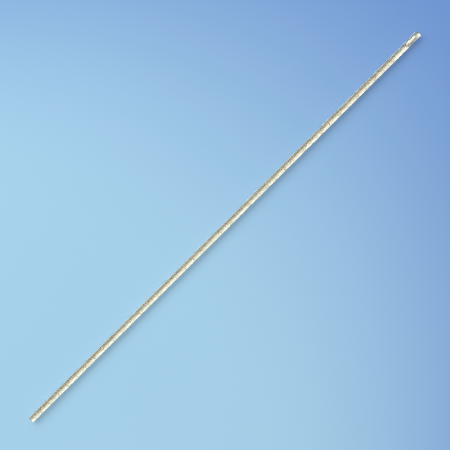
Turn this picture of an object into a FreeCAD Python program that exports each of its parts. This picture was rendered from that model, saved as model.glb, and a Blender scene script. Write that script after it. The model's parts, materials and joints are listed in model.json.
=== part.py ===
import FreeCAD
import Part
import math
import os
import Sketcher

# A graduated pipette for 2 ml in steps of 0.01 ml. It is a straight length of drawn glass tube, fire
# polished at both ends, with ivory opal glass cased in its wall round the back and up both sides. The scale
# is fired enamel and runs down to the tip. A crimp under the mouthpiece holds a cotton plug.
#
# The tube's axis is X. The tip's orifice is centred on the origin, the mouthpiece is at +X, and the front
# of the scale faces +Z. Going round the tube, angles start at the front and grow towards +Y.

# Millimetres, degrees and, for volumes, cubic millimetres.
SIZES = {
    "overall_length": 360.0,
    "tube_radius": 2.15,
    "bore_radius": 1.38,
    "rim_outer_round": 0.66,
    "rim_inner_round": 0.1,
    "opal_inner_radius": 1.75,
    "opal_outer_radius": 2.05,
    "opal_angle": 216.0,
    "crimp_start": 340.5,
    "crimp_length": 7.0,
    "crimp_radius": 2.0,
    "plug_start": 348.5,
    "plug_length": 9.0,
    "plug_round": 0.5,
    "enamel_thickness": 0.04,
    "capacity": 2000.0,
    "fine_step": 10.0,
    "line_width": 0.3,
    "line_back_end": 167.0,
    "fine_front_end": 8.0,
    "medium_front_end": 66.0,
    "numeral_height": 1.7,
    "numeral_width": 0.72,
    "numeral_stroke": 0.2,
    "numeral_gap": 0.26,
    "numeral_rise": 0.55,
    "numeral_start_angle": -13.0,
}

NUMBERED_LINES = 20  # one for each 0.1 ml from 0 to 1.9; the tip itself is 2 ml
FINE_LINES = 9  # between two numbered lines
MIDDLE_LINE = 5  # of those nine, the longer one, at 0.05 ml
CUBIC_MM_PER_ML = 1000.0

PITCH = "sizes.fine_step / (pi * sizes.bore_radius ^ 2)"
ZERO_LINE = "sizes.capacity / (pi * sizes.bore_radius ^ 2)"
ENAMEL_RADIUS = "sizes.tube_radius + sizes.enamel_thickness"

# The strokes of a numeral, named by their place in its box.
STROKES = {
    "0": ("top", "bottom", "upper_left", "upper_right", "lower_left", "lower_right"),
    "1": ("upper_right", "lower_right"),
    "2": ("top", "middle", "bottom", "upper_right", "lower_left"),
    "3": ("top", "middle", "bottom", "upper_right", "lower_right"),
    "4": ("middle", "upper_left", "upper_right", "lower_right"),
    "5": ("top", "middle", "bottom", "upper_left", "lower_right"),
    "6": ("top", "middle", "bottom", "upper_left", "lower_left", "lower_right"),
    "7": ("top", "upper_right", "lower_right"),
    "8": ("top", "middle", "bottom", "upper_left", "upper_right", "lower_left", "lower_right"),
    "9": ("top", "middle", "bottom", "upper_left", "upper_right", "lower_right"),
}


def make_sheet(doc):
    sheet = doc.addObject("Spreadsheet::Sheet", "sizes")
    for row, (alias, value) in enumerate(SIZES.items(), start=1):
        sheet.set(f"A{row}", alias)
        sheet.set(f"B{row}", str(value))
        sheet.setAlias(f"B{row}", alias)
    doc.recompute()
    return sheet


def new_body(doc, label):
    body = doc.addObject("PartDesign::Body", label)
    body.Label = label
    return body


def lengthwise_sketch(body, name):
    """A sketch on the plane through the axis: its x is along the tube and its y is up."""
    plane = next(part for part in body.Origin.OriginFeatures if part.Role == "XZ_Plane")
    sketch = body.newObject("Sketcher::SketchObject", f"{body.Name}_{name}")
    sketch.AttachmentSupport = [(plane, "")]
    sketch.MapMode = "FlatFace"
    return sketch


def bind(sketch, kind, *places, formula, rough=1.0):
    """Adds a dimension of a rough length to the sketch and binds it to a formula of the sheet's cells."""
    number = sketch.addConstraint(Sketcher.Constraint(kind, *places, rough))
    sketch.setExpression(f"Constraints[{number}]", formula)


def add_wall_section(sketch, start, length, inner, outer, side=1):
    """A rectangle along the tube between two radii, above the axis, or below it for side -1. It is drawn
    anyhow, and its dimensions then put it right."""
    corners = [(1.0, 1.0), (2.0, 1.0), (2.0, 2.0), (1.0, 2.0)]
    points = [FreeCAD.Vector(x, side * y, 0) for x, y in corners]
    lines = [sketch.addGeometry(Part.LineSegment(points[i], points[(i + 1) % 4])) for i in range(4)]
    for i in range(4):
        sketch.addConstraint(Sketcher.Constraint("Coincident", lines[i], 2, lines[(i + 1) % 4], 1))
    for line, direction in zip(lines, ("Horizontal", "Vertical", "Horizontal", "Vertical")):
        sketch.addConstraint(Sketcher.Constraint(direction, line))
    bind(sketch, "DistanceX", lines[0], 1, lines[0], 2, formula=length)
    bind(sketch, "DistanceX", -1, 1, lines[0], 1, formula=start)
    for line, radius in ((lines[0], inner), (lines[2], outer)):
        ends = (-1, 1, line, 1) if side > 0 else (line, 1, -1, 1)
        bind(sketch, "DistanceY", *ends, formula=radius)


def add_bow_section(sketch, start, length, wall, middle):
    """An arc over a chord, drawn roughly in place and put right by its dimensions. The chord lies along the
    tube at the radius wall, and the arc's middle is at the radius middle."""
    rough = ((340.0, 2.0), (347.0, 2.0), (343.5, 1.8))
    first, last, peak = (FreeCAD.Vector(x, y, 0) for x, y in rough)
    chord = sketch.addGeometry(Part.LineSegment(first, last))
    arc = sketch.addGeometry(Part.Arc(first, peak, last))
    near, far = (1, 2) if sketch.getPoint(arc, 1).x < sketch.getPoint(arc, 2).x else (2, 1)
    sketch.addConstraint(Sketcher.Constraint("Coincident", chord, 1, arc, near))
    sketch.addConstraint(Sketcher.Constraint("Coincident", chord, 2, arc, far))
    sketch.addConstraint(Sketcher.Constraint("Horizontal", chord))
    bind(sketch, "DistanceX", chord, 1, chord, 2, formula=length)
    bind(sketch, "DistanceX", -1, 1, chord, 1, formula=start)
    bind(sketch, "DistanceY", -1, 1, chord, 1, formula=wall)
    half, depth = f"({length} / 2)", f"({wall} - {middle})"
    flat = 100.0
    bind(sketch, "Radius", arc, formula=f"({half} ^ 2 + {depth} ^ 2) / (2 * {depth})", rough=flat)


def turn(body, sketch, kind="Revolution"):
    """Revolves or grooves a sketch all the way round the tube's axis."""
    feature = body.newObject(f"PartDesign::{kind}", f"{sketch.Name}_turned")
    feature.Profile = sketch
    feature.ReferenceAxis = (sketch, ["H_Axis"])
    feature.Angle = 360.0
    return feature


def add_crimp(body, inner, outer):
    """Heat draws the wall in at the crimp: it bows inwards on both faces, and its section keeps its area."""
    for name, radius, kind in (("waist", outer, "Groove"), ("throat", inner, "Revolution")):
        middle = f"sqrt(sizes.crimp_radius ^ 2 - sizes.tube_radius ^ 2 + {radius} ^ 2)"
        bow = lengthwise_sketch(body, name)
        add_bow_section(bow, "sizes.crimp_start", "sizes.crimp_length", radius, middle)
        turn(body, bow, kind)


def turn_between(body, sketch, towards_y, away_from_y):
    """Revolves a sketch about the tube's axis, by one angle each way from the front."""
    feature = turn(body, sketch)
    feature.Type = "TwoAngles"
    feature.setExpression("Angle", away_from_y)
    feature.setExpression("Angle2", towards_y)
    return feature


def circles(shape, positions, radius):
    """The names of the shape's round edges of one radius that lie at these positions along the tube."""
    names = []
    for number, edge in enumerate(shape.Edges, start=1):
        is_round = isinstance(edge.Curve, Part.Circle) and math.isclose(edge.Curve.Radius, radius)
        if is_round and any(math.isclose(edge.Curve.Center.x, x, abs_tol=1e-6) for x in positions):
            names.append(f"Edge{number}")
    return names


def round_edges(doc, body, base, positions, radius, round_name):
    doc.recompute()
    fillet = body.newObject("PartDesign::Fillet", f"{body.Name}_{round_name}")
    fillet.Base = (base, circles(base.Shape, positions, radius))
    fillet.setExpression("Radius", f"sizes.{round_name}")
    return fillet


def drawn_tube(doc, sheet):
    """The whole tube, before the opal strip is told apart from the clear glass."""
    body = new_body(doc, "drawn_tube")
    wall = lengthwise_sketch(body, "wall")
    add_wall_section(wall, "0", "sizes.overall_length", "sizes.bore_radius", "sizes.tube_radius")
    ends = (0.0, sheet.overall_length)
    tube = turn(body, wall)
    outer = round_edges(doc, body, tube, ends, sheet.tube_radius, "rim_outer_round")
    round_edges(doc, body, outer, ends, sheet.bore_radius, "rim_inner_round")
    add_crimp(body, "sizes.bore_radius", "sizes.tube_radius")
    return body


def opal_strip(doc):
    """The opal glass inside the wall, before the rims shape its ends: a ring, cut to a sector at the back."""
    ring = new_body(doc, "opal_ring")
    wall = lengthwise_sketch(ring, "wall")
    add_wall_section(
        wall, "0", "sizes.overall_length", "sizes.opal_inner_radius", "sizes.opal_outer_radius"
    )
    turn(ring, wall)
    add_crimp(ring, "sizes.opal_inner_radius", "sizes.opal_outer_radius")

    sector = new_body(doc, "opal_sector")
    section = lengthwise_sketch(sector, "section")
    add_wall_section(section, "0", "sizes.overall_length", "0", "sizes.tube_radius", side=-1)
    wedge = turn(sector, section)
    wedge.Midplane = True
    wedge.setExpression("Angle", "sizes.opal_angle")

    strip = doc.addObject("Part::Common", "opal_strip")
    strip.Base, strip.Tool = ring, sector
    return strip


def glass_and_opal(doc, tube, strip):
    glass = doc.addObject("Part::Cut", "glass_tube")
    glass.Base, glass.Tool = tube, strip
    opal = doc.addObject("Part::Common", "opal_back")
    opal.Base, opal.Tool = tube, strip
    return [glass, opal]


def cotton_plug(doc, sheet):
    body = new_body(doc, "cotton_plug")
    section = lengthwise_sketch(body, "section")
    add_wall_section(section, "sizes.plug_start", "sizes.plug_length", "0", "sizes.bore_radius")
    plug = turn(body, section)
    ends = (sheet.plug_start, sheet.plug_start + sheet.plug_length)
    round_edges(doc, body, plug, ends, sheet.bore_radius, "plug_round")
    return body


def enamel_line(body, name, steps, front_end):
    """A line of the scale, steps of 0.01 ml towards the tip from the body's origin."""
    section = lengthwise_sketch(body, name)
    start = f"-{steps} * {PITCH} - sizes.line_width / 2"
    add_wall_section(section, start, "sizes.line_width", "sizes.tube_radius", ENAMEL_RADIUS)
    return turn_between(body, section, "sizes.line_back_end", front_end)


def scale_lines(doc, number):
    """A numbered line, which leaves only a gap at the back, and the nine shorter ones below it."""
    body = new_body(doc, f"scale_lines_{number:02d}")
    enamel_line(body, "numbered", 0, "sizes.line_back_end")
    fine = enamel_line(body, "fine", 1, "sizes.fine_front_end")
    row = body.newObject("PartDesign::LinearPattern", f"{body.Name}_row")
    row.Originals = [fine]
    row.Direction = (fine.Profile[0], ["H_Axis"])
    row.Reversed = True
    row.Occurrences = FINE_LINES
    row.setExpression("Length", f"{FINE_LINES - 1} * {PITCH}")
    body.Tip = row
    enamel_line(body, "medium", MIDDLE_LINE, "sizes.medium_front_end")
    body.setExpression("Placement.Base.x", f"{ZERO_LINE} - {number} * {FINE_LINES + 1} * {PITCH}")
    return body


def enamel_patch(sheet, low, high, start, end):
    """A patch of enamel from low to high along the tube and between two distances round it."""
    axis = FreeCAD.Vector(1, 0, 0)
    angles = sorted(math.degrees(distance / sheet.tube_radius) for distance in (start, end))
    radii = (sheet.tube_radius + sheet.enamel_thickness, sheet.tube_radius)
    outer, inner = (
        Part.makeCylinder(radius, high - low, FreeCAD.Vector(low, 0, 0), axis, angles[1] - angles[0])
        for radius in radii
    )
    patch = outer.cut(inner)
    # A cylinder about X starts at its top and turns away from +Y.
    patch.rotate(FreeCAD.Vector(0, 0, 0), axis, -angles[1])
    return patch


def numeral_patches(sheet, text):
    """The enamel of a number just above its line, read with the mouthpiece up."""
    tall, wide, stroke = sheet.numeral_height, sheet.numeral_width, sheet.numeral_stroke
    foot = sheet.numeral_rise
    rows = {"bottom": 0.0, "middle": (tall - stroke) / 2, "top": tall - stroke}
    left = math.radians(sheet.numeral_start_angle) * sheet.tube_radius
    patches = []
    for character in text:
        if character == ".":
            patches.append(enamel_patch(sheet, foot, foot + stroke, left, left - stroke))
            left -= stroke + sheet.numeral_gap
            continue
        for name in STROKES[character]:
            if name in rows:
                low = foot + rows[name]
                patches.append(enamel_patch(sheet, low, low + stroke, left, left - wide))
                continue
            low = foot + (rows["middle"] if name.startswith("upper") else rows["bottom"])
            high = low + rows["middle"] + stroke
            edge = left if name.endswith("left") else left - wide + stroke
            patches.append(enamel_patch(sheet, low, high, edge, edge - stroke))
        left -= wide + sheet.numeral_gap
    return patches


def numeral(doc, sheet, number):
    """The number of a numbered line: the volume let out when the level has fallen from 0 to that line."""
    volume = number * (FINE_LINES + 1) * sheet.fine_step
    patches = numeral_patches(sheet, f"{volume / CUBIC_MM_PER_ML:g}")
    feature = doc.addObject("Part::Feature", f"numeral_{number:02d}")
    feature.Shape = patches[0].multiFuse(patches[1:]).removeSplitter()
    bore_area = math.pi * sheet.bore_radius**2
    feature.Placement.Base.x = (sheet.capacity - volume) / bore_area
    return feature


def check(doc, parts):
    failed = [item.Name for item in doc.Objects if {"Invalid", "Error"} & set(item.State)]
    if failed:
        raise RuntimeError(f"not made: {failed}")
    for part in parts:
        if part.Shape.isNull() or not part.Shape.isValid() or not part.Shape.Solids:
            raise RuntimeError(f"{part.Label} has no sound solid")


def main():
    doc = FreeCAD.newDocument("graduated_pipette")
    sheet = make_sheet(doc)
    parts = glass_and_opal(doc, drawn_tube(doc, sheet), opal_strip(doc))
    parts.append(cotton_plug(doc, sheet))
    for number in range(NUMBERED_LINES):
        parts.append(scale_lines(doc, number))
        parts.append(numeral(doc, sheet, number))
    doc.recompute()
    check(doc, parts)
    os.makedirs("parts", exist_ok=True)
    for part in parts:
        part.Shape.exportStep(f"parts/{part.Label}.step")
        print(f"{part.Label}: {len(part.Shape.Solids)} solids, {part.Shape.Volume:.4f} mm3")


main()
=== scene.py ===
import json
import math
import random

import bpy
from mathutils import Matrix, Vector


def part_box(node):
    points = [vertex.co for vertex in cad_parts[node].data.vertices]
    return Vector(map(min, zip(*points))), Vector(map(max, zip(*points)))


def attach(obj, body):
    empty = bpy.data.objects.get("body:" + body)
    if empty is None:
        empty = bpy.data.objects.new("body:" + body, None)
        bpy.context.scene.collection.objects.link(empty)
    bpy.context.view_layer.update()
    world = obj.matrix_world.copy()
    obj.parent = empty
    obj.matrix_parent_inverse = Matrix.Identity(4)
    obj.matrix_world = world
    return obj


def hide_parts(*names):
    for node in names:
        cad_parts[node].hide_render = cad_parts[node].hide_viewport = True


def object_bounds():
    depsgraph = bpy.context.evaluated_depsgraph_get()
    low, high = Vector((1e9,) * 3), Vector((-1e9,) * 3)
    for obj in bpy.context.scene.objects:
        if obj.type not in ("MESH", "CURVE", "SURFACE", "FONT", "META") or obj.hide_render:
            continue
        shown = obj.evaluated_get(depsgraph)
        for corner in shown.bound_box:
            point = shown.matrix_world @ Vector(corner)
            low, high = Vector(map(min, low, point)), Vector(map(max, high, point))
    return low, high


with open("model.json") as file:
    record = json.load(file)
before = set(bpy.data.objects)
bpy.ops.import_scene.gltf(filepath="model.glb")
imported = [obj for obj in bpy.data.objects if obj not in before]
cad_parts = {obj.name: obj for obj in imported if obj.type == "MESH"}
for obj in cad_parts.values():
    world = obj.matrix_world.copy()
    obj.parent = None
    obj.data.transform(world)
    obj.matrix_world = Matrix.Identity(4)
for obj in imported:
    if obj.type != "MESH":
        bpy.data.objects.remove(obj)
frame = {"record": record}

# A graduated pipette just over a pale floor, seen from straight above. The tube's axis is X, with its tip
# at 0, and its scale faces up, +Z. Places round the tube are angles from the top, growing towards +Y.
# Lengths are in metres.

MM = 0.001
cad_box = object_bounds()
mounts = {mount["name"]: mount for mount in frame["record"]["mounts"]}

TUBE_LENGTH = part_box("glass_tube")[1].x
TUBE_RADIUS = mounts["mouthpiece"]["dims"]["r_mm"] * MM
BORE_RADIUS = mounts["tip_bore"]["dims"]["r_mm"] * MM
FLOOR_GAP = 0.8 * MM  # how far the paper is under the pipette: room for a clear sheet that isn't drawn
FLOOR_Z = cad_box[0].z - FLOOR_GAP

RIM_OUTER_ROUND = 0.66 * MM
RIM_INNER_ROUND = 0.1 * MM
CRIMP_START = mounts["tip_bore"]["dims"]["length_mm"] * MM + RIM_INNER_ROUND
CRIMP_END = TUBE_LENGTH - RIM_OUTER_ROUND - mounts["mouthpiece"]["dims"]["length_mm"] * MM
CRIMP_DEPTH = 0.15 * MM
THROAT_DEPTH = 0.25 * MM

OPAL_INNER_RADIUS = 1.75 * MM
OPAL_OUTER_RADIUS = 2.04 * MM
OPAL_HALF_ANGLE = math.radians(108.0)
OPAL_END_GAP = 0.12 * MM
OPAL_SKIN = 0.05 * MM  # the least clear glass over the opal, where a rim rounds its end

ENAMEL_RISE = 0.03 * MM
ENAMEL_FOOT = TUBE_RADIUS - 0.03 * MM  # the radius of its foot, which is inside the glass
LINE_WIDTH = 0.3 * MM
LINE_BACK = math.radians(167.0)  # where every line ends, near the back
FINE_FRONT = math.radians(-8.0)
MEDIUM_FRONT = math.radians(-66.0)
SHORTER_LINES = 9  # below each numbered line
MIDDLE_LINE = 5  # the one of them that is longer
NUMBERED_LINES = 20

random.seed(7)


# Shapes


def new_piece(name, points, faces):
    mesh = bpy.data.meshes.new(name)
    mesh.from_pydata(points, [], faces)
    mesh.shade_smooth()
    piece = bpy.data.objects.new(name, mesh)
    bpy.context.scene.collection.objects.link(piece)
    return piece


def round_tube(x, radius, angle):
    """The point at a radius and an angle round the tube."""
    return (x, radius * math.sin(angle), radius * math.cos(angle))


OUTER_WAVES, OUTER_UNEVENNESS = (0.043, 0.071, 0.019), 0.014 * MM
INNER_WAVES, INNER_UNEVENNESS = (0.057, 0.031, 0.083), 0.012 * MM
EDGE_WAVES, EDGE_UNEVENNESS = (0.11, 0.047), 0.02  # of the opal's edges, as a share of their angle


def drawing_wave(x, lengths, size):
    """The slow unevenness that drawing leaves along a tube, from 0 to size, as waves of some lengths."""
    share = sum(math.sin(2 * math.pi * x / length + 3 * i) for i, length in enumerate(lengths))
    return size * (0.5 + 0.5 * share / len(lengths))


def crimp_share(x):
    """How far the crimp draws the wall in at x, from 0 outside it to 1 at its middle."""
    if not CRIMP_START < x < CRIMP_END:
        return 0.0
    return math.sin(math.pi * (x - CRIMP_START) / (CRIMP_END - CRIMP_START)) ** 2


def outer_radius(x):
    wave = drawing_wave(x, OUTER_WAVES, OUTER_UNEVENNESS)
    return TUBE_RADIUS - wave - CRIMP_DEPTH * crimp_share(x)


def rim_radius(x):
    """The outside radius, with the rims' rounding."""
    short = max(0.0, RIM_OUTER_ROUND - min(x, TUBE_LENGTH - x))
    return outer_radius(x) - RIM_OUTER_ROUND + math.sqrt(RIM_OUTER_ROUND**2 - short**2)


def inner_radius(x):
    wave = drawing_wave(x, INNER_WAVES, INNER_UNEVENNESS)
    return BORE_RADIUS + wave - THROAT_DEPTH * crimp_share(x)


def facing_out(points, faces):
    """The faces of a closed solid, turned over if they face inwards."""
    x0, y0, z0 = points[0]
    volume = 0.0
    for face in faces:
        (ax, ay, az), *others = [(x - x0, y - y0, z - z0) for x, y, z in (points[i] for i in face)]
        for (bx, by, bz), (cx, cy, cz) in zip(others, others[1:]):
            volume += ax * (by * cz - bz * cy) + ay * (bz * cx - bx * cz) + az * (bx * cy - by * cx)
    return faces if volume > 0 else [face[::-1] for face in faces]


def sweep_rings(rings, joined=False):
    """Points and faces of a solid through rings that all have the same number of points. It is capped at
    its first and last ring, or joined from the last to the first."""
    size = len(rings[0])
    points = [point for ring in rings for point in ring]
    faces = []
    for row in range(len(rings) if joined else len(rings) - 1):
        here, there = row * size, (row + 1) % len(rings) * size
        for i in range(size):
            j = (i + 1) % size
            faces.append((here + i, here + j, there + j, there + i))
    if not joined:
        last = (len(rings) - 1) * size
        faces.append(tuple(range(size - 1, -1, -1)))
        faces.append(tuple(range(last, last + size)))
    return points, facing_out(points, faces)


def stations(start, end, step):
    count = max(1, round((end - start) / step))
    return [start + (end - start) * i / count for i in range(count + 1)]


def between_rims():
    """Places along the tube between its rims, closer together in the crimp."""
    coarse, fine = 2.0 * MM, 0.35 * MM
    places = stations(RIM_OUTER_ROUND, CRIMP_START, coarse)[:-1]
    places += stations(CRIMP_START, CRIMP_END, fine)[:-1]
    places += stations(CRIMP_END, TUBE_LENGTH - RIM_OUTER_ROUND, coarse)
    return places


def arc(centre, radius, start, end, steps):
    """Points (x, radius from the axis) on a rim's rounding."""
    angles = [math.radians(start + (end - start) * i / steps) for i in range(steps + 1)]
    return [(centre[0] + radius * math.cos(a), centre[1] + radius * math.sin(a)) for a in angles]


def wall_profile():
    """The closed outline of the tube's wall, from the tip along the outside and back through the bore."""
    outside = [(x, outer_radius(x)) for x in between_rims()]
    inside = [(x, inner_radius(x)) for x in reversed(between_rims())]
    steps = 7
    profile = []
    tip_r, mouth_r = outside[0][1] - RIM_OUTER_ROUND, outside[-1][1] - RIM_OUTER_ROUND
    profile += arc((RIM_OUTER_ROUND, tip_r), RIM_OUTER_ROUND, 180, 90, steps)
    profile += outside[1:-1]
    profile += arc((TUBE_LENGTH - RIM_OUTER_ROUND, mouth_r), RIM_OUTER_ROUND, 90, 0, steps)
    mouth_bore = inside[0][1] + RIM_INNER_ROUND
    profile += arc((TUBE_LENGTH - RIM_INNER_ROUND, mouth_bore), RIM_INNER_ROUND, 0, -90, steps)
    profile += inside
    tip_bore = inside[-1][1] + RIM_INNER_ROUND
    profile += arc((RIM_INNER_ROUND, tip_bore), RIM_INNER_ROUND, -90, -180, steps)
    return profile


def glass_tube():
    around = 96
    turns = [2 * math.pi * i / around for i in range(around)]
    rings = [[round_tube(x, radius, angle) for angle in turns] for x, radius in wall_profile()]
    return new_piece("glass_tube_drawn", *sweep_rings(rings, joined=True))


EDGE_BLUNTNESS = 9  # the higher, the closer to its edges the opal keeps its thickness


def opal_back():
    """The opal strip in the back wall. It thins out at its edges, and follows the rims and the crimp."""
    half_steps, rim_step = 30, 0.06 * MM
    rim = stations(OPAL_END_GAP, RIM_OUTER_ROUND, rim_step)[:-1]
    rings = []
    for x in rim + between_rims() + [TUBE_LENGTH - x for x in reversed(rim)]:
        inner = OPAL_INNER_RADIUS - CRIMP_DEPTH * crimp_share(x)
        outer = min(OPAL_OUTER_RADIUS - CRIMP_DEPTH * crimp_share(x), rim_radius(x) - OPAL_SKIN)
        middle, half_thickness = (inner + outer) / 2, (outer - inner) / 2
        edge = OPAL_HALF_ANGLE * (1 - drawing_wave(x, EDGE_WAVES, EDGE_UNEVENNESS))
        sweep = [edge * math.sin(math.pi / 2 * i / half_steps) for i in range(-half_steps, half_steps + 1)]
        thins = [math.sqrt(max(0.0, 1 - abs(a / edge) ** EDGE_BLUNTNESS)) for a in sweep]
        thickness = [half_thickness * share for share in thins]
        outside = [round_tube(x, middle + t, math.pi + a) for a, t in zip(sweep, thickness)]
        inside = [round_tube(x, middle - t, math.pi + a) for a, t in zip(sweep, thickness)]
        rings.append(outside + inside[-2:0:-1])
    return new_piece("opal_back_strip", *sweep_rings(rings))


# Half of an enamel line's section, from its foot in the glass to the middle of its crown, as shares of its
# half width and of its height above the glass.
CROWN = ((1.0, None), (1.0, 0.0), (0.93, 0.4), (0.78, 0.72), (0.5, 0.93), (0.0, 1.0))
RAGGEDNESS = 0.04  # how far a line's width varies, as a share of it
RAGGED_ALONG, RAGGED_APART = 2600, 70  # radians for a metre along a line, and for a millimetre of its place
LEAST_END = 0.1  # the width at the very end of a line, as a share of it


def enamel_stroke(path, width, closed=False):
    """A raised ribbon of enamel along a path of (distance along the tube, angle) points, with round ends or
    closed on itself. It stands on the glass with its foot just inside it."""
    flat = [(x, angle * TUBE_RADIUS) for x, angle in path]
    section = [(-across, height) for across, height in CROWN] + list(reversed(CROWN[:-1]))
    lengths = [0.0]
    for a, b in zip(flat, flat[1:]):
        lengths.append(lengths[-1] + math.dist(a, b))
    last = len(flat) - 1
    rings = []
    for i, (x, y) in enumerate(flat):
        before = flat[i - 1] if closed else flat[max(i - 1, 0)]
        after = flat[(i + 1) % len(flat)] if closed else flat[min(i + 1, last)]
        run = math.dist(before, after)
        side = (-(after[1] - before[1]) / run, (after[0] - before[0]) / run)
        from_end = width if closed else min(lengths[i], lengths[-1] - lengths[i])
        share = max(LEAST_END, math.sqrt(1 - max(0.0, 1 - 2 * from_end / width) ** 2))
        wander = math.sin(RAGGED_ALONG * lengths[i] + RAGGED_APART * x / MM)
        ragged = 1 - RAGGEDNESS / 2 + RAGGEDNESS / 2 * wander
        half = width / 2 * share * ragged
        ring = []
        for across, height in section:
            radius = ENAMEL_FOOT if height is None else TUBE_RADIUS + height * share * ENAMEL_RISE
            place = (x + across * half * side[0], y + across * half * side[1])
            ring.append(round_tube(place[0], radius, place[1] / TUBE_RADIUS))
        rings.append(ring)
    return sweep_rings(rings, closed)


def merged(name, parts):
    points, faces = [], []
    for part_points, part_faces in parts:
        shift = len(points)
        points += part_points
        faces += [tuple(i + shift for i in face) for face in part_faces]
    return new_piece(name, points, faces)


def ring_path(x, start, end, width):
    """The path of a line round the tube, with close points near its rounded ends."""
    cap, cap_steps = width / 2 / TUBE_RADIUS, 4
    step = math.radians(4.0)
    inner = stations(start + cap, end - cap, step)
    rounding = [cap * (1 - math.cos(math.pi / 2 * i / cap_steps)) for i in range(cap_steps)]
    angles = [start + r for r in rounding] + inner + [end - r for r in reversed(rounding)]
    return [(x, angle) for angle in angles]


def scale_lines(number):
    """A numbered line and the nine shorter ones below it."""
    node = f"scale_lines_{number:02d}"
    low, high = (corner.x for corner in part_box(node))
    pitch = (high - low - LINE_WIDTH) / SHORTER_LINES
    numbered = high - LINE_WIDTH / 2
    parts = []
    for step in range(SHORTER_LINES + 1):
        front = {0: -LINE_BACK, MIDDLE_LINE: MEDIUM_FRONT}.get(step, FINE_FRONT)
        x = numbered - step * pitch
        parts.append(enamel_stroke(ring_path(x, front, LINE_BACK, LINE_WIDTH), LINE_WIDTH))
    piece = merged(f"{node}_enamel", parts)
    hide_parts(node)
    return piece


def bend(centre, radii, start, end, steps=12):
    """Points of a bend of a numeral, as part of an ellipse."""
    rx, ry = radii
    angles = [math.radians(start + (end - start) * i / steps) for i in range(steps + 1)]
    return [(centre[0] + rx * math.cos(a), centre[1] + ry * math.sin(a)) for a in angles]


def loop(centre, radii):
    """A closed bend. Its last point is left out, because it is its first."""
    steps = 26
    return bend(centre, radii, 90, 450, steps)[:-1]


def straight(*corners):
    """Points along straight strokes from corner to corner."""
    steps = 5
    points = [corners[0]]
    for (u0, v0), (u1, v1) in zip(corners, corners[1:]):
        points += [(u0 + (u1 - u0) * i / steps, v0 + (v1 - v0) * i / steps) for i in range(1, steps + 1)]
    return points


def eased(stroke):
    """A stroke with its corners rounded as by a pen, by cutting each of them a few times."""
    cuts = 3
    for _ in range(cuts):
        cut = [stroke[0]]
        for (u0, v0), (u1, v1) in zip(stroke, stroke[1:]):
            cut.append((0.75 * u0 + 0.25 * u1, 0.75 * v0 + 0.25 * v1))
            cut.append((0.25 * u0 + 0.75 * u1, 0.25 * v0 + 0.75 * v1))
        stroke = cut + [stroke[-1]]
    return stroke


# Each numeral's open strokes and closed loops, in a box that is 0.6 wide and 1 high.
BOX_WIDTH = 0.6
FOUR = [
    straight((0.44, 0.0), (0.44, 1.0)),
    straight((0.42, 0.97), (0.02, 0.3)),
    straight((0.0, 0.28), (0.6, 0.28)),
]
FIVE = eased(straight((0.54, 1.0), (0.12, 1.0), (0.08, 0.57))) + bend((0.28, 0.31), (0.3, 0.31), 116, -150)
SIX = bend((0.62, 0.34), (0.6, 0.64), 96, 172, 9)
NUMERALS = {
    "0": ([], [loop((0.3, 0.5), (0.28, 0.5))]),
    "1": ([eased(straight((0.1, 0.8), (0.32, 1.0), (0.32, 0.0)))], []),
    "2": ([bend((0.3, 0.72), (0.27, 0.27), 165, -35) + straight((0.02, 0.0), (0.6, 0.0))], []),
    "3": ([bend((0.28, 0.76), (0.25, 0.24), 150, -82) + bend((0.28, 0.27), (0.3, 0.27), 82, -150)], []),
    "4": (FOUR, []),
    "5": ([FIVE], []),
    "6": ([SIX], [loop((0.3, 0.29), (0.28, 0.29))]),
    "7": ([eased(straight((0.02, 1.0), (0.58, 1.0), (0.22, 0.0)))], []),
    "8": ([], [loop((0.3, 0.76), (0.22, 0.23)), loop((0.3, 0.27), (0.28, 0.27))]),
    "9": ([[(BOX_WIDTH - u, 1.0 - v) for u, v in SIX]], [loop((0.3, 0.71), (0.28, 0.29))]),
}
PEN_WIDTH = 0.17 * MM
NUMERAL_SPREAD = 0.82  # how wide the numerals are drawn, for their height
NUMERAL_GAP = 0.3 * MM
POINT_ADVANCE = 0.36 * MM
POINT_WIDTH = 1.1 * PEN_WIDTH


def numeral(number):
    """A number above its line, read with the mouthpiece up, drawn with a round pen."""
    node = f"numeral_{number:02d}"
    low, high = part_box(node)
    foot, height = low.x + PEN_WIDTH / 2, high.x - low.x - PEN_WIDTH
    left = math.asin(high.y / TUBE_RADIUS) * TUBE_RADIUS - PEN_WIDTH / 2

    def placed(stroke):
        return [(foot + height * v, (left - NUMERAL_SPREAD * height * u) / TUBE_RADIUS) for u, v in stroke]

    parts = []
    for character in f"{number / 10:g}":
        if character == ".":
            steps = 8
            dot = [(foot, (left - PEN_WIDTH * i / steps) / TUBE_RADIUS) for i in range(steps + 1)]
            parts.append(enamel_stroke(dot, POINT_WIDTH))
            left -= POINT_ADVANCE
            continue
        strokes, loops = NUMERALS[character]
        parts += [enamel_stroke(placed(stroke), PEN_WIDTH) for stroke in strokes]
        parts += [enamel_stroke(placed(stroke), PEN_WIDTH, closed=True) for stroke in loops]
        left -= BOX_WIDTH * NUMERAL_SPREAD * height + NUMERAL_GAP
    piece = merged(f"{node}_enamel", parts)
    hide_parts(node)
    return piece


def fibre(points, thickness):
    """A thin three-sided thread through points, pointed at both ends."""
    rings, sides = [], 3
    count = len(points)
    spare = 0.35  # keeps its ends from closing to nothing
    for i, point in enumerate(points):
        direction = (points[min(i + 1, count - 1)] - points[max(i - 1, 0)]).normalized()
        side = direction.orthogonal().normalized()
        other = direction.cross(side)
        share = math.sin(math.pi * (i + spare) / (count - 1 + 2 * spare))
        ring = []
        for k in range(sides):
            a = 2 * math.pi * k / sides
            ring.append(tuple(point + (side * math.cos(a) + other * math.sin(a)) * thickness * share))
        rings.append(ring)
    return sweep_rings(rings)


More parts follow.
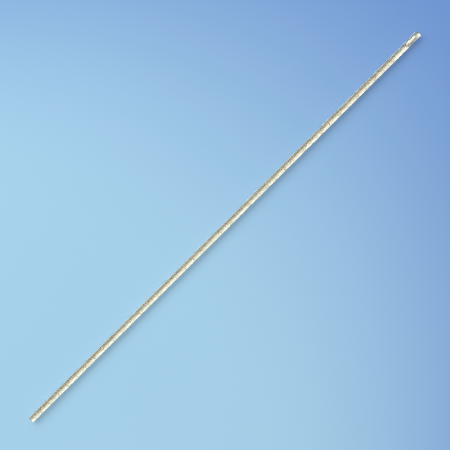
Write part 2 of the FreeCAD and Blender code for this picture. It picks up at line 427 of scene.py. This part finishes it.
WAD_GAP = 0.06 * MM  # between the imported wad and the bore
WAD_BEND = 0.7 * MM  # the rounding of its ends
LUMPS = ((0.035, 3, 9.0), (0.03, 5, -31.0), (0.025, 2, 47.0), (0.02, 9, 80.0))  # size, times round, twist
LUMPS_MOST = sum(size for size, _, _ in LUMPS)
DENT_SCALE = 2.2 * MM  # how deep the lumps dent its ends, for a lump as large as its radius
DENT_REACH = 2 * MM  # how far from an end the dents fade out
FIBRE_LIMIT = 0.01  # how near the middle of an end a fibre may come, as a share of the run over the wad
FIBRES, FIBRE_POINTS = 560, 10
FIBRE_THICKNESS = 0.012 * MM
FIBRE_RISE = 0.06 * MM  # the most that a fibre stands above the wad


def wad_point(low, high, share, angle, rise=0.0):
    """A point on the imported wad's lumpy surface, or a rise above it. The share runs from the middle of one
    end, out over its rounding and along the wad, to the middle of the other end."""
    radius = BORE_RADIUS - WAD_GAP
    flat, rounding = radius - WAD_BEND, math.pi / 2 * WAD_BEND
    half_run = flat + rounding + (high - low) / 2 - WAD_BEND
    run = 2 * min(share, 1 - share) * half_run
    tilt = min(max(run - flat, 0.0), rounding) / WAD_BEND
    from_end = WAD_BEND * (1 - math.cos(tilt)) + max(0.0, run - flat - rounding)
    out = min(run, flat) + WAD_BEND * math.sin(tilt)
    lump = sum(size * math.sin(times * angle + twist * share) for size, times, twist in LUMPS)
    dent = (LUMPS_MOST - lump) * max(0.0, 1 - from_end / DENT_REACH)
    from_end = max(0.0, from_end + DENT_SCALE * dent - rise * math.cos(tilt))
    out = min(out * (1 - LUMPS_MOST + lump) + rise * math.sin(tilt), BORE_RADIUS - WAD_GAP / 2)
    return round_tube(low + from_end if share < 0.5 else high - from_end, out, angle)


def wad_core(low, high):
    """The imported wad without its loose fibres."""
    around, along, first = 40, 56, 0.012
    rings = []
    for i in range(along + 1):
        share = first + (1 - 2 * first) * i / along
        rings.append([wad_point(low, high, share, 2 * math.pi * k / around) for k in range(around)])
    return sweep_rings(rings)


def cotton_plug():
    """A packed wad with loose fibres that wander over it."""
    low, high = (corner.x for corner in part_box("cotton_plug"))
    parts = [wad_core(low, high)]
    for _ in range(FIBRES):
        share, angle = random.uniform(FIBRE_LIMIT, 1 - FIBRE_LIMIT), random.uniform(0, 2 * math.pi)
        heading, stride = random.uniform(0, 2 * math.pi), random.uniform(0.12, 0.3) * MM
        rise = random.uniform(0.0, 0.03) * MM
        points = []
        for _ in range(FIBRE_POINTS):
            points.append(Vector(wad_point(low, high, share, angle, rise)))
            heading += random.uniform(-0.5, 0.5)
            share += stride * math.cos(heading) / (high - low)
            share = min(max(share, FIBRE_LIMIT), 1 - FIBRE_LIMIT)
            angle += stride * math.sin(heading) / BORE_RADIUS
            rise = min(max(rise + random.uniform(-0.02, 0.02) * MM, 0.0), FIBRE_RISE)
        parts.append(fibre(points, FIBRE_THICKNESS))
    piece = merged("cotton_plug_wad", parts)
    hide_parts("cotton_plug")
    return piece


# Materials


class Nodes:
    """A material's node tree, with short calls for the nodes that the materials share."""

    def __init__(self, name):
        self.material = bpy.data.materials.new(name)
        self.material.use_nodes = True
        self.tree = self.material.node_tree
        self.shader = self.tree.nodes["Principled BSDF"]
        self.place = self.tree.nodes.new("ShaderNodeTexCoord").outputs["Object"]

    def link(self, source, target):
        self.tree.links.new(source, target)

    def stretched(self, scale):
        mapping = self.tree.nodes.new("ShaderNodeMapping")
        mapping.inputs["Scale"].default_value = scale
        self.link(self.place, mapping.inputs["Vector"])
        return mapping.outputs["Vector"]

    def noise(self, scale, detail, roughness=0.5):
        texture = self.tree.nodes.new("ShaderNodeTexNoise")
        texture.inputs["Scale"].default_value = 1.0
        texture.inputs["Detail"].default_value = detail
        texture.inputs["Roughness"].default_value = roughness
        self.link(self.stretched(scale), texture.inputs["Vector"])
        return texture.outputs["Fac"]

    def ramp(self, factor, stops):
        ramp = self.tree.nodes.new("ShaderNodeValToRGB")
        while len(ramp.color_ramp.elements) < len(stops):
            ramp.color_ramp.elements.new(0.5)
        for element, (position, colour) in zip(ramp.color_ramp.elements, stops):
            element.position = position
            element.color = (*colour, 1.0)
        self.link(factor, ramp.inputs["Fac"])
        return ramp.outputs["Color"]

    def spread(self, factor, low, high):
        """A factor around 0.5, as noise gives it, spread from low to high."""
        spread = self.tree.nodes.new("ShaderNodeMapRange")
        spread.inputs["From Min"].default_value = 0.3
        spread.inputs["From Max"].default_value = 0.7
        spread.inputs["To Min"].default_value = low
        spread.inputs["To Max"].default_value = high
        self.link(factor, spread.inputs["Value"])
        return spread.outputs["Result"]

    def mixed(self, factor, first, second):
        mix = self.tree.nodes.new("ShaderNodeMix")
        mix.data_type = "RGBA"
        self.link(factor, mix.inputs["Factor"])
        self.link(first, mix.inputs["A"])
        self.link(second, mix.inputs["B"])
        return mix.outputs["Result"]

    def bump(self, height, distance, strength=1.0):
        bump = self.tree.nodes.new("ShaderNodeBump")
        bump.inputs["Distance"].default_value = distance
        bump.inputs["Strength"].default_value = strength
        self.link(height, bump.inputs["Height"])
        self.link(bump.outputs["Normal"], self.shader.inputs["Normal"])

    def set(self, **values):
        for name, value in values.items():
            self.shader.inputs[name.replace("_", " ")].default_value = value


GLASS_TINTS = [(0.3, (0.965, 0.985, 0.96)), (0.7, (0.992, 0.998, 0.987))]
GLASS_SHADOW_TINT = (0.96, 0.966, 0.955, 1.0)
OPAL_WARM = [(0.3, (0.73, 0.68, 0.56)), (0.7, (0.82, 0.79, 0.70))]
OPAL_PALE = [(0.3, (0.78, 0.75, 0.65)), (0.7, (0.87, 0.85, 0.78))]
COTTON_TONES = [(0.25, (0.6, 0.56, 0.45)), (0.6, (0.73, 0.69, 0.58)), (0.8, (0.8, 0.77, 0.67))]
# The paper's colour inside a painted pool of light, and past it where it is painted darker as shade. Its
# glow has the same colours.
PAPER_IN_PAINTED_POOL = [(0.3, (0.167, 0.28, 0.367)), (0.7, (0.174, 0.29, 0.377))]
PAPER_PAST_PAINTED_POOL = [(0.3, (0.059, 0.118, 0.281)), (0.7, (0.064, 0.126, 0.291))]


def clear_glass():
    """Glass with faint streaks along it and the marks of handling."""
    nodes = Nodes("clear_glass")
    nodes.set(Transmission_Weight=1.0, IOR=1.474)
    streaks = nodes.noise(scale=(18, 2600, 2600), detail=2.0)
    nodes.link(nodes.ramp(streaks, GLASS_TINTS), nodes.shader.inputs["Base Color"])
    handling = nodes.noise(scale=(220, 420, 420), detail=5.0, roughness=0.6)
    nodes.link(nodes.spread(handling, low=0.0, high=0.06), nodes.shader.inputs["Roughness"])
    nodes.bump(streaks, distance=0.004 * MM, strength=0.5)

    # A shadow ray goes straight through, because the glass would otherwise keep the lamp from the opal.
    tree = nodes.tree
    clear = tree.nodes.new("ShaderNodeBsdfTransparent")
    clear.inputs["Color"].default_value = GLASS_SHADOW_TINT
    path = tree.nodes.new("ShaderNodeLightPath")
    mix = tree.nodes.new("ShaderNodeMixShader")
    output = tree.nodes["Material Output"]
    nodes.link(path.outputs["Is Shadow Ray"], mix.inputs["Fac"])
    nodes.link(nodes.shader.outputs["BSDF"], mix.inputs[1])
    nodes.link(clear.outputs["BSDF"], mix.inputs[2])
    nodes.link(mix.outputs["Shader"], output.inputs["Surface"])
    return nodes.material


def opal_glass():
    """Ivory glass, streaked along the tube, that clouds make paler in places."""
    nodes = Nodes("opal_glass")
    nodes.set(IOR=1.5, Roughness=0.35)
    streaks = nodes.noise(scale=(12, 1500, 1500), detail=4.0, roughness=0.6)
    clouds = nodes.noise(scale=(160, 500, 500), detail=4.0)
    warm = nodes.ramp(streaks, OPAL_WARM)
    pale = nodes.ramp(streaks, OPAL_PALE)
    nodes.link(nodes.mixed(clouds, warm, pale), nodes.shader.inputs["Base Color"])
    nodes.bump(streaks, distance=0.006 * MM)
    return nodes.material


def enamel(name, dark, light, worn):
    """Fired enamel: glossy, with uneven colour, fine pits and a paler look where it is thin."""
    nodes = Nodes(name)
    nodes.set(IOR=1.55, Coat_Weight=0.35, Coat_Roughness=0.12)
    tone = nodes.noise(scale=(900, 1400, 1400), detail=4.0)
    pits = nodes.noise(scale=(5200, 5200, 5200), detail=2.0, roughness=0.7)
    body = nodes.ramp(tone, [(0.32, dark), (0.68, light)])
    thin = nodes.ramp(tone, [(0.3, light), (0.7, worn)])
    specks = nodes.spread(pits, low=-1.6, high=0.6)
    nodes.link(nodes.mixed(specks, body, thin), nodes.shader.inputs["Base Color"])
    nodes.link(nodes.spread(pits, low=0.22, high=0.42), nodes.shader.inputs["Roughness"])
    nodes.bump(pits, distance=0.006 * MM)
    return nodes.material


def cotton():
    nodes = Nodes("cotton")
    nodes.set(Roughness=0.95, Sheen_Weight=0.4, Sheen_Roughness=0.5)
    tufts = nodes.noise(scale=(700, 1400, 1400), detail=5.0, roughness=0.65)
    nodes.link(nodes.ramp(tufts, COTTON_TONES), nodes.shader.inputs["Base Color"])
    nodes.bump(tufts, distance=0.05 * MM)
    return nodes.material


def floor_paper():
    """Glowing paper with a painted pool of light round the tip's half: its colour and glow are palest there,
    and painted darker and bluer past it as shade.
    """
    nodes = Nodes("floor_paper")
    nodes.set(Roughness=0.7, Emission_Strength=TABLE_GLOW)
    tone = nodes.noise(scale=(3, 3, 3), detail=2.0)
    # The first ramp is the paper in the painted pool of light. The second is the paper painted darker past
    # it.
    pale = nodes.ramp(tone, PAPER_IN_PAINTED_POOL)
    past_painted_pool = nodes.ramp(tone, PAPER_PAST_PAINTED_POOL)

    # How far a place is past the painted pool of light is x + PAINTED_POOL_BEND * y * y.
    place = nodes.tree.nodes.new("ShaderNodeSeparateXYZ")
    across = nodes.tree.nodes.new("ShaderNodeMath")
    across.operation = "MULTIPLY"
    past = nodes.tree.nodes.new("ShaderNodeMath")
    past.operation = "MULTIPLY_ADD"
    past.inputs[1].default_value = PAINTED_POOL_BEND
    sweep = nodes.tree.nodes.new("ShaderNodeMapRange")
    sweep.interpolation_type = "SMOOTHSTEP"
    sweep.inputs["From Min"].default_value, sweep.inputs["From Max"].default_value = PAINTED_POOL_EDGE
    nodes.link(nodes.place, place.inputs["Vector"])
    nodes.link(place.outputs["Y"], across.inputs[0])
    nodes.link(place.outputs["Y"], across.inputs[1])
    nodes.link(across.outputs["Value"], past.inputs[0])
    nodes.link(place.outputs["X"], past.inputs[2])
    nodes.link(past.outputs["Value"], sweep.inputs["Value"])
    colour = nodes.mixed(sweep.outputs["Result"], pale, past_painted_pool)
    paper = nodes.tree.nodes.new("ShaderNodeVectorMath")
    paper.operation = "SCALE"
    paper.inputs["Scale"].default_value = PAPER_SHARE
    nodes.link(colour, paper.inputs["Vector"])
    nodes.link(paper.outputs["Vector"], nodes.shader.inputs["Base Color"])
    nodes.link(colour, nodes.shader.inputs["Emission Color"])
    nodes.bump(nodes.noise(scale=(900, 900, 900), detail=2.0), distance=0.01 * MM)
    return nodes.material


# The object

AMBER = ((0.31, 0.215, 0.085), (0.43, 0.33, 0.155), (0.53, 0.45, 0.26))  # dark, light and worn


def dress(piece, material):
    piece.data.materials.append(material)
    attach(piece, "root")


def build_pipette():
    tube = glass_tube()
    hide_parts("glass_tube")
    dress(tube, clear_glass())
    strip = opal_back()
    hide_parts("opal_back")
    dress(strip, opal_glass())
    amber = enamel("amber_enamel", *AMBER)
    for number in range(NUMBERED_LINES):
        dress(scale_lines(number), amber)
        dress(numeral(number), amber)
    dress(cotton_plug(), cotton())


# The studio

VIEW_ROLL = math.radians(44.93)  # how far the tube is turned in the picture
TUBE_SHARE = 1.2167  # the tube's length, as a share of the picture's width
PICTURE_WIDTH = TUBE_LENGTH / TUBE_SHARE
LENS, SENSOR = 100.0, 36.0
UP_SHIFT = 0.0036 * PICTURE_WIDTH  # how far the camera is above the tube's middle, up the picture
KEY_DISTANCE = 2.1
KEY_HEIGHT = math.radians(40.8)  # above the floor, as an angle
KEY_SIZE = (4.0, 1.5)
KEY_POWER = 133.0
KEY_COLOUR = (1.0, 0.985, 0.96)
DOME = (0.03, 1.8)  # its strength at the horizon and overhead
DOME_FOCUS = 6.0  # how closely its light gathers overhead
DOME_COLOUR = (0.86, 0.94, 1.0, 1.0)
BACKDROP = 0.75  # how bright the dome is where the camera sees it
FLOOR_HALF = 2.5  # half the floor's side
TABLE_GLOW = 1.1
PAINTED_POOL_EDGE = (0.12, 0.44)  # where along the tube the painted pool of light on the floor starts to end, and has ended
PAINTED_POOL_BEND = 2.4  # how much sooner it ends off the tube's axis, in metres for each square metre
PAPER_SHARE = 0.65  # how pale the paper is by itself, for the colour of its glow


def area_light(name, place, target, size, power, colour):
    light = bpy.data.lights.new(name, "AREA")
    light.shape = "RECTANGLE"
    light.size, light.size_y = size
    light.energy = power
    light.color = colour
    lamp = bpy.data.objects.new(name, light)
    lamp.location = place
    lamp.rotation_euler = (Vector(target) - Vector(place)).to_track_quat("-Z", "Y").to_euler()
    bpy.context.scene.collection.objects.link(lamp)
    return lamp


def studio_dome():
    """Soft light from all round, brightest overhead. What shows behind the floor is plain and pale."""
    world = bpy.data.worlds.new("studio")
    world.use_nodes = True
    tree = world.node_tree
    background = tree.nodes["Background"]
    background.inputs["Color"].default_value = DOME_COLOUR
    direction = tree.nodes.new("ShaderNodeSeparateXYZ")
    overhead = tree.nodes.new("ShaderNodeMath")
    overhead.operation = "POWER"
    overhead.use_clamp = True
    overhead.inputs[1].default_value = DOME_FOCUS
    strength = tree.nodes.new("ShaderNodeMapRange")
    strength.inputs["To Min"].default_value, strength.inputs["To Max"].default_value = DOME
    seen = tree.nodes.new("ShaderNodeLightPath")
    shown = tree.nodes.new("ShaderNodeMix")
    shown.inputs["B"].default_value = BACKDROP
    place = tree.nodes.new("ShaderNodeTexCoord")
    tree.links.new(place.outputs["Generated"], direction.inputs["Vector"])
    tree.links.new(direction.outputs["Z"], overhead.inputs[0])
    tree.links.new(overhead.outputs["Value"], strength.inputs["Value"])
    tree.links.new(seen.outputs["Is Camera Ray"], shown.inputs["Factor"])
    tree.links.new(strength.outputs["Result"], shown.inputs["A"])
    tree.links.new(shown.outputs["Result"], background.inputs["Strength"])
    return world


def build_studio():
    middle = Vector((TUBE_LENGTH / 2, 0.0, 0.0))
    signs = ((-1, -1), (1, -1), (1, 1), (-1, 1))
    corners = [(middle.x + x * FLOOR_HALF, y * FLOOR_HALF, FLOOR_Z) for x, y in signs]
    floor = new_piece("floor", corners, [(0, 1, 2, 3)])
    floor.data.materials.append(floor_paper())

    bpy.context.scene.world = studio_dome()
    towards_key = Vector((0.0, math.cos(KEY_HEIGHT), math.sin(KEY_HEIGHT)))
    key_place = middle + KEY_DISTANCE * towards_key
    key = area_light("key", key_place, middle, KEY_SIZE, KEY_POWER, KEY_COLOUR)
    key.visible_glossy = key.visible_transmission = False  # so that it leaves no streak along the tube

    data = bpy.data.cameras.new("camera")
    data.lens, data.sensor_width = LENS, SENSOR
    camera = bpy.data.objects.new("camera", data)
    distance = PICTURE_WIDTH / 2 / (SENSOR / 2 / LENS)
    up = Vector((math.sin(VIEW_ROLL), math.cos(VIEW_ROLL), 0.0))
    camera.location = middle + up * UP_SHIFT + Vector((0, 0, distance))
    camera.rotation_euler = (0.0, 0.0, -VIEW_ROLL)
    bpy.context.scene.collection.objects.link(camera)
    bpy.context.scene.camera = camera
    bpy.context.scene.view_settings.view_transform = "Standard"


build_pipette()
build_studio()
